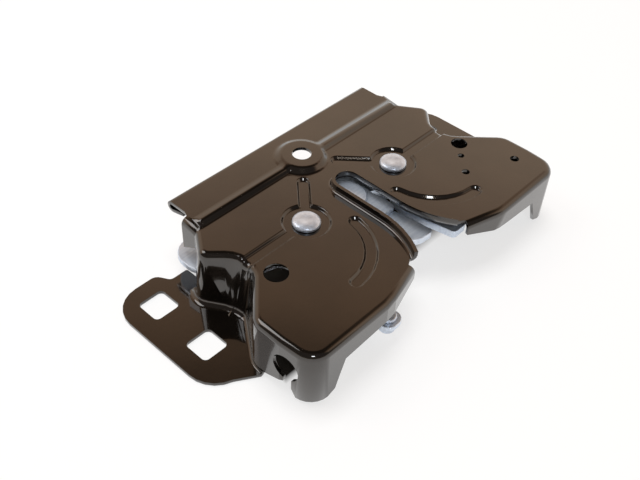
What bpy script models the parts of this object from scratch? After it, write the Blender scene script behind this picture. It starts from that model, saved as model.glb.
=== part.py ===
# Bonnet latch: a stamped and coated housing with a rotary catch, pawl and levers riveted under it.
# Metres. +X runs along the rear strip, +Y towards the strip's rolled edge, +Z out of the plate's face.
# Dimensions are taken from the axis of the boss hole, at the height of the plate's top face. At the end
# everything is moved so that the origin is below the middle of the whole, at the height of its foot.
import math

import bmesh
import bpy
import numpy as np
from mathutils import Vector
from mathutils.geometry import delaunay_2d_cdt

# Sheet of the housing
SHEET = 0.0015
BEND = 0.0030
FOLD_STEPS = 4
GAP = 0.0003
TURN_GAP = 0.0003

# Rear strip, its rolled edge and the ridge in front of it
STRIP_HALF = 0.0595
STRIP_RISE = 0.0012
STRIP_END_Y = 0.0080
ROLL_Y = 0.0163
ROLL_R = 0.00265
ROLL_LIP_Y = 0.0090
ROLL_LIP_Z = -0.0021
RIDGE_FOOT_Y = -0.0040
RIDGE_TOP_Y = -0.0018
RIDGE_REAR_Y = 0.0030
RIDGE_HEIGHT = 0.0023
RIDGE_FADE = 0.0025

# Where a pressed slope is cut between its foot and its floor, as shares of its width
SLOPE_SHARES = (0.0, 0.35, 0.65, 1.0)

# Boss with its hole
BOSS_TOP_R = 0.0085
BOSS_FOOT_R = 0.0125
BOSS_SKEW = 0.0005
BOSS_HEIGHT = 0.0030
BOSS_HOLE_R = 0.00425

# Sunk pads at the rivets, and the grooves
PIVOT_X = 0.0273
PIVOT_Y = -0.0293
SUNK = 0.0015
SUNK_SIDE = 0.0015
PAD_FLOOR_R = 0.0092
GROOVE_FLOOR = 0.0017
DIAGONAL_START = 0.0155
ARC_X = 0.0390
ARC_Y = -0.0400
ARC_R = 0.0260
ARC_START = math.radians(-7.0)
ARC_END = math.radians(-88.0)

# Outline of the plate, taken where its folds begin
SIDE_X = 0.0605
SIDE_TOP_Y = 0.0055
SIDE_LOW_Y = -0.0035
CORNER_X = 0.0676
CORNER_Y = -0.0136
WINDOW_Y = -0.0100
NECK_X = 0.0584
NECK_TOP_Y = -0.0225
NECK_LOW_Y = -0.0350
NECK_BAY_R = 0.0120
LOBE_X = 0.0763
LOBE_TOP_Y = -0.0535
LOBE_LOW_Y = -0.0660
FRONT_X = 0.0753
FRONT_Y = -0.0793
FRONT_BREAK_X = 0.0360
FRONT_END = 0.0182
FRONT_END_Y = -0.0744

# Lower edges of the folded walls, and the ears
SIDE_DEPTH = 0.0142
WINDOW_DEPTH = 0.0083
LEG_DEPTH = 0.0260
LOBE_DEPTH = 0.0244
LOBE_DIP_DEPTH = 0.0197
FRONT_DEPTH = 0.0115
FRONT_BREAK_DEPTH = 0.0098
FRONT_END_DEPTH = 0.0059
LEG_FRONT_X = 0.0693
LEG_FILLET_X = 0.0610
EAR_Z = -0.0260
EAR_FOOT_R = 0.0030
EAR_RIM = 0.0083
EAR_TOP_Y = 0.0103
EAR_LOW_Y = -0.0490
EAR_END_Y = -0.0546
EAR_LEAN = 0.0044
EAR_LEAN_TOP = 0.0015
EAR_NOTCH_X = 0.0640
EAR_NOTCH_Y = -0.0062
EAR_STEP_IN_X = 0.0640
EAR_STEP_OUT_X = 0.0725
EAR_STEP_Y = 0.0041
EAR_SHOULDER_X = 0.0760
EAR_TOP_R = 0.0130
EAR_LOW_R = 0.0140
SQUARE_HOLE = 0.0120
SQUARE_HOLE_R = 0.0021
SQUARE_HOLE_INSET = 0.0102
SQUARE_HOLE_REAR_Y = -0.0034
SQUARE_HOLE_FRONT_Y = -0.0323

# Striker slot with its raised lip
SLOT_X = 0.0010
SLOT_HALF = 0.0060
SLOT_END_Y = -0.0260
SLOT_FLARE_Y = -0.0500
SLOT_FLARE_R = 0.0420
SLOT_MOUTH_Y = -0.0740
LIP_HEIGHT = 0.0035
LIP_FOOT_R = 0.0016

# Cable holder cut into the left wall
CABLE_Y = -0.0690
CABLE_Z = -0.0128
CABLE_HOLE_R = 0.0060
CABLE_GATE = 0.0040
CABLE_GATE_Y = -0.0700

# Round holes of the two lobes: x, y, radius
LOBE_HOLES = (
    (-0.0565, -0.0416, 0.0050),
    (0.0590, -0.0416, 0.00375),
    (0.0524, -0.0476, 0.0015),
    (0.0447, -0.0559, 0.00175),
    (0.0678, -0.0656, 0.0020),
)

# Rivets and what sits on them
SHANK_R = 0.0030
HEAD_R = 0.0060
HEAD_HEIGHT = 0.0022
TAIL_R = 0.0050
TAIL_HEIGHT = 0.0018
BUSH_WALL = 0.0015
WASHER_R = 0.0080
WASHER = 0.0012

# Plates of the mechanism
LIFT_PLATE = 0.0025
LIFT_PAD = 0.0012
LIFT_PAD_R = 0.0090
CATCH_PLATE = 0.0035
RELEASE_PLATE = 0.0025
HUB_WALL = 0.0045
WIRE = 0.0009
COIL_TURNS = 1.8
LEAST_TURN = math.radians(330.0)
SPRING_SEAT_Y = -0.0245
STUD_R = 0.0015
POST_R = 0.0035
POST_NECK_R = 0.0021
POST_HEAD = 0.0016
POST_TAIL = 0.0034

# How far the parts turn, and how the nose of the pawl lies in the catch
RELEASE_TURN = math.radians(11.0)
CATCH_RATIO = 2.8
NOSE_REACH = 0.0180
NOSE_R = 0.0022
PIN_X = 0.0
PIN_Y = -0.0030
PIN_R = 0.0020

PIN_MARGIN = 0.0018
NOSE_NECK = 0.0300
NOSE_NECK_HALF = 0.0036
TOOTH_BACK = 0.0040
FINGER = 0.0090

# Striker and the jaw of the catch that holds it
STRIKER_Y = -0.0410
JAW_HALF = 0.0050
HEEL_X = 0.0080
HEEL_R = 0.0015
ARM_X = 0.0060
ARM_DEPTH = 0.0075
ARM_R = 0.0025

# Places of the studs, the handle end, the cable's end and the round pad, in plan
LIFT_STUD_OUT = 0.0130
LIFT_STUD_DOWN = 0.0085
CATCH_STUD_IN = 0.0120
CATCH_STUD_DOWN = 0.0150
PAWL_STUD_IN = 0.0080
PAWL_STUD_DOWN = 0.0190
LIFT_PAD_X = -0.0020
LIFT_PAD_Y = -0.0280
HANDLE_X = -0.0575
HANDLE_Y = -0.0005
CABLE_END_X = -0.0310
CABLE_END_Y = -0.0775

# Corners of the plates as x, y and the radius of the round: the catch's hook, seen from the striker
HOOK_CORNERS = (
    (-0.0210, -0.0135, 0.0100),
    (-0.0050, -0.0195, 0.0150),
    (0.0030, -0.0240, 0.0060),
    (0.0102, -0.0246, 0.0018),
    (0.0095, -0.0150, 0.0080),
)
# The lift lever from its stud round to its hub, seen from the catch's pivot
LIFT_CORNERS = (
    (-0.0165, -0.0055, 0.0030),
    (-0.0140, -0.0125, 0.0030),
    (-0.0057, -0.0110, 0.0040),
    (0.0073, -0.0107, 0.0100),
    (0.0193, -0.0172, 0.0060),
    (0.0361, -0.0172, 0.0020),
    (0.0370, -0.0107, 0.0030),
    (0.0357, -0.0052, 0.0060),
    (0.0365, 0.0003, 0.0012),
    (0.0223, 0.0068, 0.0080),
)
# The pawl's tail beside the slot, seen from the pawl's pivot
TAIL_CORNERS = (
    (-0.0003, -0.0267, 0.0120),
    (-0.0018, -0.0432, 0.0030),
    (-0.0108, -0.0432, 0.0020),
    (-0.0133, -0.0307, 0.0100),
    (-0.0155, -0.0187, 0.0080),
    (-0.0108, -0.0037, 0.0060),
)
# The release lever's handle end and its cable end, each seen from its own middle
HANDLE_CORNERS = (
    (0.0100, 0.0115, 0.0090),
    (-0.0103, 0.0110, 0.0095),
    (-0.0103, -0.0082, 0.0080),
    (0.0060, -0.0105, 0.0060),
)
CABLE_CORNERS = (
    (-0.0050, 0.0060, 0.0030),
    (-0.0050, -0.0050, 0.0040),
    (0.0050, -0.0050, 0.0040),
    (0.0050, 0.0080, 0.0030),
)
# The release lever's edges between its arms, seen from the catch's pivot
RELEASE_UPPER = (
    (0.0020, 0.0105, 0.0080),
    (-0.0110, 0.0130, 0.0080),
)
RELEASE_LEFT = (
    (-0.0100, -0.0030, 0.0060),
    (-0.0085, -0.0160, 0.0100),
)
RELEASE_RIGHT = (
    (0.0075, -0.0120, 0.0100),
    (0.0105, -0.0020, 0.0060),
)

PIVOT = (-PIVOT_X, PIVOT_Y)
PAWL_PIVOT = (PIVOT_X, PIVOT_Y)
LIFT_STUD = (-PIVOT_X - LIFT_STUD_OUT, PIVOT_Y - LIFT_STUD_DOWN)
CATCH_STUD = (-PIVOT_X + CATCH_STUD_IN, PIVOT_Y - CATCH_STUD_DOWN)
PAWL_STUD = (PIVOT_X - PAWL_STUD_IN, PIVOT_Y - PAWL_STUD_DOWN)
LIFT_PAD_PLACE = (LIFT_PAD_X, LIFT_PAD_Y)
HANDLE = (HANDLE_X, HANDLE_Y)
CABLE_END = (CABLE_END_X, CABLE_END_Y)

# The ear's holes stand off the foot of the neck wall, and its outer edge off the holes
EAR_FOOT_X = NECK_X + BEND + EAR_LEAN + EAR_FOOT_R
SQUARE_HOLE_X = EAR_FOOT_X + SQUARE_HOLE_INSET + SQUARE_HOLE / 2
EAR_OUTER_X = SQUARE_HOLE_X + SQUARE_HOLE / 2 + EAR_RIM

BUSH_R = SHANK_R + GAP + BUSH_WALL
BORE_R = BUSH_R + TURN_GAP
HUB_R = BORE_R + HUB_WALL

# Heights of the layers, from the underside of the pads down
PAD_UNDER = -SUNK - SHEET
BUSH_TOP = PAD_UNDER - GAP
LIFT_TOP = BUSH_TOP - GAP
LIFT_LOW = LIFT_TOP - LIFT_PLATE
CATCH_TOP = LIFT_LOW - GAP
CATCH_LOW = CATCH_TOP - CATCH_PLATE
COIL_PITCH = WIRE + GAP
COIL_HEIGHT = COIL_TURNS * COIL_PITCH + WIRE
COIL_R = BUSH_R + GAP + WIRE / 2
CATCH_COIL_TOP = CATCH_LOW - GAP
LIFT_COIL_TOP = CATCH_COIL_TOP - COIL_HEIGHT - GAP
RELEASE_TOP = LIFT_COIL_TOP - COIL_HEIGHT - GAP
RELEASE_LOW = RELEASE_TOP - RELEASE_PLATE


def clear_scene():
    for item in list(bpy.data.objects):
        bpy.data.objects.remove(item, do_unlink=True)


def material(name, colour, roughness, metallic):
    made = bpy.data.materials.new(name)
    made.use_nodes = True
    shader = made.node_tree.nodes["Principled BSDF"]
    shader.inputs["Base Color"].default_value = (*colour, 1.0)
    shader.inputs["Roughness"].default_value = roughness
    shader.inputs["Metallic"].default_value = metallic
    return made


def make_object(name, bm, finish, origin=(0.0, 0.0), smooth=math.radians(40)):
    """Turn a bmesh in world coordinates into an object whose origin is at a plan point."""
    bmesh.ops.recalc_face_normals(bm, faces=bm.faces)
    bmesh.ops.translate(bm, verts=bm.verts, vec=(-origin[0], -origin[1], 0.0))
    mesh = bpy.data.meshes.new(name)
    bm.to_mesh(mesh)
    bm.free()
    mesh.shade_smooth()
    mesh.set_sharp_from_angle(angle=smooth)
    mesh.materials.append(finish)
    made = bpy.data.objects.new(name, mesh)
    made.location = (origin[0], origin[1], 0.0)
    bpy.context.scene.collection.objects.link(made)
    return made


# Plan curves

def circle(centre, radius, count=24):
    turns = [2 * math.pi * i / count for i in range(count)]
    return [(centre[0] + radius * math.cos(a), centre[1] + radius * math.sin(a)) for a in turns]


def corner_arc(before, corner, after, radius, step=math.radians(16)):
    """Points of the round that joins two straight edges at a corner."""
    here = Vector(corner)
    first = (Vector(before) - here).normalized()
    last = (Vector(after) - here).normalized()
    half = first.angle(last) / 2
    centre = here + (first + last).normalized() * (radius / math.sin(half))
    reach = radius / math.tan(half)
    start = here + first * reach - centre
    end = here + last * reach - centre
    sweep = start.angle_signed(end)
    count = max(1, math.ceil(abs(sweep) / step))
    points = []
    for i in range(count + 1):
        turn = -sweep * i / count
        spin = Vector((start.x * math.cos(turn) - start.y * math.sin(turn),
                       start.x * math.sin(turn) + start.y * math.cos(turn)))
        points.append(tuple(centre + spin))
    return points


def rounded(corners, closed=True):
    """Outline through corners given as (x, y) or (x, y, radius)."""
    points = []
    count = len(corners)
    for i, corner in enumerate(corners):
        ends = not closed and i in (0, count - 1)
        if len(corner) == 2 or ends:
            points.append(tuple(corner[:2]))
            continue
        before = corners[i - 1][:2]
        after = corners[(i + 1) % count][:2]
        points.extend(corner_arc(before, corner[:2], after, corner[2]))
    return points


def capsule(start, end, half):
    """Outline of a straight groove with round ends."""
    along = math.atan2(end[1] - start[1], end[0] - start[0])
    points = []
    for centre, turn in ((end, along - math.pi / 2), (start, along + math.pi / 2)):
        for i in range(9):
            angle = turn + math.pi * i / 8
            points.append((centre[0] + half * math.cos(angle), centre[1] + half * math.sin(angle)))
    return points


def arc_band(centre, radius, start, end, half):
    """Outline of a curved groove with round ends."""
    points = []
    count = 8
    for i in range(count + 1):
        angle = start + (end - start) * i / count
        points.append(polar(centre, radius + half, angle))
    points.extend(polar(polar(centre, radius, end), half, end - math.pi * i / 6) for i in range(1, 6))
    for i in range(count + 1):
        angle = end + (start - end) * i / count
        points.append(polar(centre, radius - half, angle))
    points.extend(polar(polar(centre, radius, start), half, start + math.pi - math.pi * i / 6)
                  for i in range(1, 6))
    return points


def polar(centre, radius, angle):
    return (centre[0] + radius * math.cos(angle), centre[1] + radius * math.sin(angle))


def inside(point, loop):
    """Whether a plan point lies inside a closed loop."""
    x, y = point
    odd = False
    for (ax, ay), (bx, by) in zip(loop, loop[1:] + loop[:1]):
        if (ay > y) != (by > y) and x < ax + (y - ay) * (bx - ax) / (by - ay):
            odd = not odd
    return odd


def fill_plan(outer, holes=(), lines=()):
    """Triangles of an outline with holes, cut along further lines. Returns points, triangles and
    the point made for each point of the outline."""
    points = []
    edges = []
    for loop, closed in [(outer, True)] + [(h, True) for h in holes] + list(lines):
        first = len(points)
        points.extend(Vector(p[:2]) for p in loop)
        last = len(points) - 1
        edges.extend((i, i + 1) for i in range(first, last))
        if closed:
            edges.append((last, first))
    made, _, faces, origins, _, _ = delaunay_2d_cdt(points, edges, [], 0, 1e-7)
    kept = []
    for face in faces:
        middle = sum((made[i] for i in face), Vector((0.0, 0.0))) / len(face)
        if inside(middle, outer) and not any(inside(middle, hole) for hole in holes):
            kept.append(tuple(face))
    place = {}
    for index, sources in enumerate(origins):
        for source in sources:
            place[source] = index
    return made, kept, [place[i] for i in range(len(outer))]


def plate(outer, holes, top, low):
    """A flat plate with holes, between two heights."""
    points, faces, _ = fill_plan(outer, holes)
    bm = bmesh.new()
    verts = [bm.verts.new((p.x, p.y, top)) for p in points]
    for face in faces:
        bm.faces.new([verts[i] for i in face])
    bmesh.ops.delete(bm, geom=[v for v in bm.verts if not v.link_faces], context="VERTS")
    made = bmesh.ops.extrude_face_region(bm, geom=bm.faces[:])
    moved = [item for item in made["geom"] if isinstance(item, bmesh.types.BMVert)]
    bmesh.ops.translate(bm, verts=moved, vec=(0.0, 0.0, low - top))
    return bm


def turned(profile, centre, count=24):
    """Spin a closed profile of (radius, height) about the upright through a plan point."""
    bm = bmesh.new()
    verts = [bm.verts.new((centre[0] + r, centre[1], z)) for r, z in profile]
    edges = [bm.edges.new(pair) for pair in zip(verts, verts[1:] + verts[:1])]
    bmesh.ops.spin(bm, geom=verts + edges, cent=(centre[0], centre[1], 0.0), axis=(0.0, 0.0, 1.0),
                   angle=2 * math.pi, steps=count, use_merge=True)
    bmesh.ops.remove_doubles(bm, verts=bm.verts, dist=1e-6)
    return bm


# Housing

def capsule_distance(x, y, start, end):
    along = Vector(end) - Vector(start)
    ahead = (Vector((x, y)) - Vector(start)).dot(along) / along.length_squared
    near = Vector(start) + along * min(1.0, max(0.0, ahead))
    return (Vector((x, y)) - near).length


def arc_distance(x, y):
    """Distance of a point of the right half from the middle line of the curved groove."""
    angle = math.atan2(y - ARC_Y, -(x - ARC_X))
    angle = min(ARC_START, max(ARC_END, angle))
    near = polar((0.0, ARC_Y), ARC_R, angle)
    return math.hypot(x - (ARC_X - near[0]), y - near[1])


def diagonal_start():
    length = math.hypot(PIVOT_X, PIVOT_Y)
    return (PIVOT_X * DIAGONAL_START / length, PIVOT_Y * DIAGONAL_START / length)


def eased(share):
    """Share of a pressed slope's height, which starts and ends level."""
    share = min(1.0, max(0.0, share))
    return share * share * (3 - 2 * share)


def ridge_height(x, y):
    """Step from the plate up to the strip, with the ridge that fades towards its ends."""
    step = STRIP_RISE * eased((y - RIDGE_FOOT_Y) / (RIDGE_REAR_Y - RIDGE_FOOT_Y))
    crest = RIDGE_HEIGHT * eased((y - RIDGE_FOOT_Y) / (RIDGE_TOP_Y - RIDGE_FOOT_Y))
    if y > RIDGE_TOP_Y:
        crest += (STRIP_RISE - RIDGE_HEIGHT) * eased((y - RIDGE_TOP_Y) / (RIDGE_REAR_Y - RIDGE_TOP_Y))
    fade = min(1.0, max(0.0, (SIDE_X - abs(x)) / RIDGE_FADE))
    return step + (crest - step) * fade


def boss_foot(angle):
    return BOSS_FOOT_R + BOSS_SKEW * math.sin(angle)


def plate_height(x, y):
    """Height of the stamped skin's top face over a plan point."""
    base = ridge_height(x, y)
    reach = math.hypot(x, y)
    foot = boss_foot(math.atan2(y, x))
    if reach < foot:
        return base + (BOSS_HEIGHT - base) * eased((foot - reach) / (foot - BOSS_TOP_R))
    mirrored = (abs(x), y)
    beyond = min(
        math.hypot(abs(x) - PIVOT_X, y - PIVOT_Y) - PAD_FLOOR_R,
        capsule_distance(*mirrored, diagonal_start(), (PIVOT_X, PIVOT_Y)) - GROOVE_FLOOR,
        capsule_distance(*mirrored, (PIVOT_X, PIVOT_Y), (LOBE_X, PIVOT_Y)) - GROOVE_FLOOR,
        arc_distance(*mirrored) - GROOVE_FLOOR,
    )
    return base - SUNK * eased(1.0 - beyond / SUNK_SIDE)


def mirror_plan(points, side):
    return [(side * p[0], *p[1:]) for p in points]


def wall_stations(side):
    """Path where the folds of one half begin, with the depth of the wall below each point.

    The depth is None where the wall runs down into the ear.
    """
    window = side_point(WINDOW_Y)
    fillet = LEG_FRONT_X - LEG_FILLET_X
    stations = [
        (SIDE_X, SIDE_TOP_Y, 0.0, SIDE_DEPTH),
        (SIDE_X, SIDE_LOW_Y, 0.004, (SIDE_DEPTH + WINDOW_DEPTH) / 2 - BEND / 2),
        (*window, 0.0, WINDOW_DEPTH),
        (CORNER_X, CORNER_Y, 0.0015, None),
        (NECK_X, NECK_TOP_Y, NECK_BAY_R, None),
        (NECK_X, NECK_LOW_Y, NECK_BAY_R, None),
        (LOBE_X, LOBE_TOP_Y, 0.006, None),
        (LOBE_X, EAR_END_Y - EAR_FOOT_R, 0.0, LOBE_DEPTH),
        (LOBE_X, LOBE_LOW_Y, 0.0, (LOBE_DEPTH + LOBE_DIP_DEPTH) / 2),
        (lobe_edge(CABLE_GATE_Y), CABLE_GATE_Y, 0.0, LOBE_DIP_DEPTH),
        (FRONT_X, FRONT_Y, 0.006, LEG_DEPTH),
        (LEG_FRONT_X - fillet * 0.4, FRONT_Y, 0.0, LEG_DEPTH - 0.0015),
        (LEG_FRONT_X - fillet * 0.65, FRONT_Y, 0.0, (LEG_DEPTH + FRONT_DEPTH) / 2),
        (LEG_FILLET_X, FRONT_Y, 0.0, FRONT_DEPTH),
        (FRONT_BREAK_X, FRONT_Y, 0.020, FRONT_BREAK_DEPTH),
    ]
    end = (side * SLOT_X + FRONT_END, FRONT_END_Y, 0.0, FRONT_END_DEPTH)
    return stations + [end]


def side_point(y):
    """Point of the slanted wall between the side flange and the corner."""
    share = (y - SIDE_LOW_Y) / (CORNER_Y - SIDE_LOW_Y)
    return (SIDE_X + (CORNER_X - SIDE_X) * share, y)


def lobe_edge(y):
    """Plan distance of the lobe's wall from the centre line, below its upper straight."""
    return float(np.interp(-y, (-LOBE_LOW_Y, -FRONT_Y), (LOBE_X, FRONT_X)))


def groove_edges():
    """Heights in plan of the outer groove's foot and floor lines."""
    reaches = [GROOVE_FLOOR + SUNK_SIDE * share for share in SLOPE_SHARES]
    return [PIVOT_Y + reach for reach in reversed(reaches)] + [PIVOT_Y - reach for reach in reaches]


def fold_points(side):
    """Points with wall depths where the folds of one half begin, also where the groove crosses them."""
    stations = wall_stations(side)
    points = []
    for i, (x, y, radius, depth) in enumerate(stations):
        if radius == 0.0:
            points.append((x, y, depth))
            continue
        before = stations[i - 1][:2]
        after = stations[i + 1][:2]
        points.extend((*p, depth) for p in corner_arc(before, (x, y), after, radius))
    for y in groove_edges():
        place = next(i for i in range(1, len(points)) if points[i][1] < y < points[i - 1][1])
        above, below = points[place - 1], points[place]
        share = (y - above[1]) / (below[1] - above[1])
        points.insert(place, (above[0] + (below[0] - above[0]) * share, y, None))
    return points


def wall_path(side):
    """Points, outward directions and depths along the folds of one half, from the strip to the slot."""
    points = fold_points(side)
    path = []
    for i, (x, y, depth) in enumerate(points):
        before = Vector(points[max(0, i - 1)][:2])
        after = Vector(points[min(len(points) - 1, i + 1)][:2])
        here = Vector((x, y))
        first = (here - before).normalized() if i else (after - here).normalized()
        last = (after - here).normalized() if i < len(points) - 1 else first
        along = (first + last).normalized()
        lengthen = 1.0 / max(0.5, along.dot(first))
        away = Vector((-along.y, along.x)) * lengthen
        path.append((Vector((side * x, y)), Vector((side * away.x, away.y)), depth))
    return path


def slot_path():
    """Middle line of the lip round the slot, from the left mouth to the right, with outward directions."""
    reach = math.asin((SLOT_FLARE_Y - SLOT_MOUTH_Y) / SLOT_FLARE_R)
    half = []
    for i in range(7):
        turn = reach * (6 - i) / 6
        x = SLOT_HALF + SLOT_FLARE_R * (1 - math.cos(turn))
        y = SLOT_FLARE_Y - SLOT_FLARE_R * math.sin(turn)
        half.append((x, y, math.cos(turn), math.sin(turn)))
    for i in range(6):
        turn = math.pi / 2 * i / 6
        half.append((SLOT_HALF * math.cos(turn), SLOT_END_Y + SLOT_HALF * math.sin(turn),
                     math.cos(turn), math.sin(turn)))
    left = [(SLOT_X - x, y, -nx, ny) for x, y, nx, ny in half]
    right = [(SLOT_X + x, y, nx, ny) for x, y, nx, ny in reversed(half)]
    crown = [(SLOT_X, SLOT_END_Y + SLOT_HALF, 0.0, 1.0)]
    return left + crown + right


def lip_foot():
    """How far the lip's foot lies outside its middle line."""
    return SHEET / 2 + LIP_FOOT_R


def ear_lean(y):
    """How far the wall above the ear leans out, which is most at the neck."""
    return float(np.interp(-y, (-CORNER_Y, -NECK_TOP_Y, -LOBE_TOP_Y), (EAR_LEAN_TOP, EAR_LEAN, 0.0)))


def foot_radius(y):
    return float(np.interp(y, (EAR_END_Y, NECK_LOW_Y), (0.0010, EAR_FOOT_R)))


def add_strip(bm, rings):
    """Join rows of points with faces; each row holds as many points as the next."""
    for upper, lower in zip(rings, rings[1:]):
        for i in range(len(upper) - 1):
            corners = [upper[i], upper[i + 1], lower[i + 1], lower[i]]
            kept = [v for n, v in enumerate(corners) if v not in corners[:n]]
            bm.faces.new(kept)


def fold_row(bm, path, tops, turn):
    """Row of points part-way round the fold that turns the plate's edge down."""
    row = []
    for (place, away, _), top in zip(path, tops):
        out = place + away * (BEND * math.sin(turn))
        row.append(bm.verts.new((out.x, out.y, top.co.z - BEND * (1 - math.cos(turn)))))
    return row


def add_walls(bm, path, tops):
    """Fold the edge down, then run the wall to its free edge or through the foot into the ear."""
    rows = [tops] + [fold_row(bm, path, tops, math.pi / 2 * i / FOLD_STEPS) for i in range(1, FOLD_STEPS + 1)]
    add_strip(bm, rows)
    edge = rows[-1]
    ear = [i for i, station in enumerate(path) if station[2] is None]
    first, last = ear[0] - 1, ear[-1] + 1
    levels = {}
    for i in range(first, last + 1):
        place, away, _ = path[i]
        levels[i] = ear_levels(bm, place, away)
    for begin, end in ((0, first), (last, len(path) - 1)):
        low = []
        for i in range(begin, end + 1):
            if i == first:
                low.append(levels[i][0])
            elif i == last:
                low.append(levels[i][1])
            else:
                low.append(bm.verts.new((edge[i].co.x, edge[i].co.y, -path[i][2])))
        upper = edge[begin:end + 1]
        if begin == last:
            add_strip(bm, [upper[1:], low[1:]])
            bm.faces.new([upper[0], upper[1], low[1], low[0], levels[last][0]])
        else:
            add_strip(bm, [upper, low])
    span = range(first, last + 1)
    depth = len(levels[first])
    add_strip(bm, [[edge[i] for i in span]] + [[levels[i][n] for i in span] for n in range(depth)])
    return [levels[i][-1] for i in span]


def ear_levels(bm, place, away):
    """Points down the wall and round its foot to the plane of the ear."""
    lean = ear_lean(place.y)
    foot = foot_radius(place.y)
    low = EAR_Z + foot
    share = (WINDOW_DEPTH - BEND) / (-low - BEND)
    points = []
    for reach, z in ((BEND + lean * share, -WINDOW_DEPTH), (BEND + lean, low)):
        out = place + away * reach
        points.append(bm.verts.new((out.x, out.y, z)))
    for i in (1, 2, 3):
        turn = math.pi / 2 * i / 3
        out = place + away * (BEND + lean + foot * (1 - math.cos(turn)))
        points.append(bm.verts.new((out.x, out.y, low - foot * math.sin(turn))))
    return points


def ear_corners(side):
    corners = [
        (EAR_NOTCH_X, EAR_NOTCH_Y),
        (EAR_STEP_IN_X, EAR_STEP_Y, 0.0010),
        (EAR_STEP_OUT_X, EAR_STEP_Y, 0.0025),
        (EAR_SHOULDER_X, EAR_TOP_Y, 0.0040),
        (EAR_OUTER_X, EAR_TOP_Y, EAR_TOP_R),
        (EAR_OUTER_X, EAR_LOW_Y, EAR_LOW_R),
    ]
    return mirror_plan(rounded(corners + [(0.0800, EAR_END_Y)], closed=False)[:-1], side)


def square_hole(side, y):
    half = SQUARE_HOLE / 2
    x = SQUARE_HOLE_X
    corners = [(x - half, y - half), (x + half, y - half), (x + half, y + half), (x - half, y + half)]
    return mirror_plan(rounded([(*c, SQUARE_HOLE_R) for c in corners]), side)


def add_ear(bm, side, foot):
    """Flat ear outside the foot of the wall, with its two square holes."""
    inner = [(v.co.x, v.co.y) for v in foot]
    outer = ear_corners(side) + inner[::-1]
    holes = [square_hole(side, SQUARE_HOLE_REAR_Y), square_hole(side, SQUARE_HOLE_FRONT_Y)]
    points, faces, order = fill_plan(outer, holes)
    known = dict(zip(order[len(outer) - len(inner):], foot[::-1]))
    verts = [known.get(i) or bm.verts.new((p.x, p.y, EAR_Z)) for i, p in enumerate(points)]
    for face in faces:
        bm.faces.new([verts[i] for i in face])


def add_lip(bm, path, feet):
    """Raise the slot's edge into an upright lip."""
    rows = [feet]
    for i in (1, 2, 3):
        turn = math.pi / 2 * i / 3
        reach = SHEET / 2 + LIP_FOOT_R * (1 - math.sin(turn))
        height = LIP_FOOT_R * (1 - math.cos(turn))
        rows.append([bm.verts.new((x + nx * reach, y + ny * reach, height)) for x, y, nx, ny in path])
    rows.append([bm.verts.new((v.co.x, v.co.y, LIP_HEIGHT)) for v in rows[-1]])
    add_strip(bm, rows)


def add_roll(bm, rear):
    """Roll the strip's rear edge round and under."""
    rows = [rear]
    steps = 7
    for i in range(1, steps + 1):
        turn = math.radians(90 - 200 * i / steps)
        y = ROLL_Y + ROLL_R * math.cos(turn)
        z = STRIP_RISE - ROLL_R + ROLL_R * math.sin(turn)
        rows.append([bm.verts.new((v.co.x, y, z)) for v in rear])
    rows.append([bm.verts.new((v.co.x, ROLL_LIP_Y, ROLL_LIP_Z)) for v in rear])
    add_strip(bm, rows)


def plate_lines():
    """Foot and floor lines of the ridge, boss, pads and grooves, along which the skin is cut."""
    lines = []
    end = SIDE_X - RIDGE_FADE
    rises = [RIDGE_FOOT_Y + (RIDGE_TOP_Y - RIDGE_FOOT_Y) * share for share in SLOPE_SHARES]
    falls = [RIDGE_TOP_Y + (RIDGE_REAR_Y - RIDGE_TOP_Y) * share for share in SLOPE_SHARES[1:]]
    for y in rises + falls:
        lines.append(([(-SIDE_X + 0.0005, y), (-end, y), (end, y), (SIDE_X - 0.0005, y)], False))
    turns = [2 * math.pi * i / 32 for i in range(32)]
    for share in SLOPE_SHARES:
        ring = [polar((0.0, 0.0), BOSS_TOP_R + (boss_foot(a) - BOSS_TOP_R) * share, a) for a in turns]
        lines.append((ring, True))
    for side in (-1, 1):
        centre = (side * PIVOT_X, PIVOT_Y)
        start = (side * diagonal_start()[0], diagonal_start()[1])
        for widen in [SUNK_SIDE * share for share in SLOPE_SHARES]:
            half = GROOVE_FLOOR + widen
            lines.append((circle(centre, PAD_FLOOR_R + widen, 32), True))
            lines.append((capsule(start, centre, half), True))
            band = arc_band((0.0, ARC_Y), ARC_R, ARC_START, ARC_END, half)
            lines.append(([(side * (ARC_X - x), y) for x, y in band], True))
        for y in groove_edges():
            end = next(x for x, edge, _ in fold_points(side) if edge == y)
            lines.append(([(centre[0], y), (side * end, y)], False))
    return lines


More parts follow.
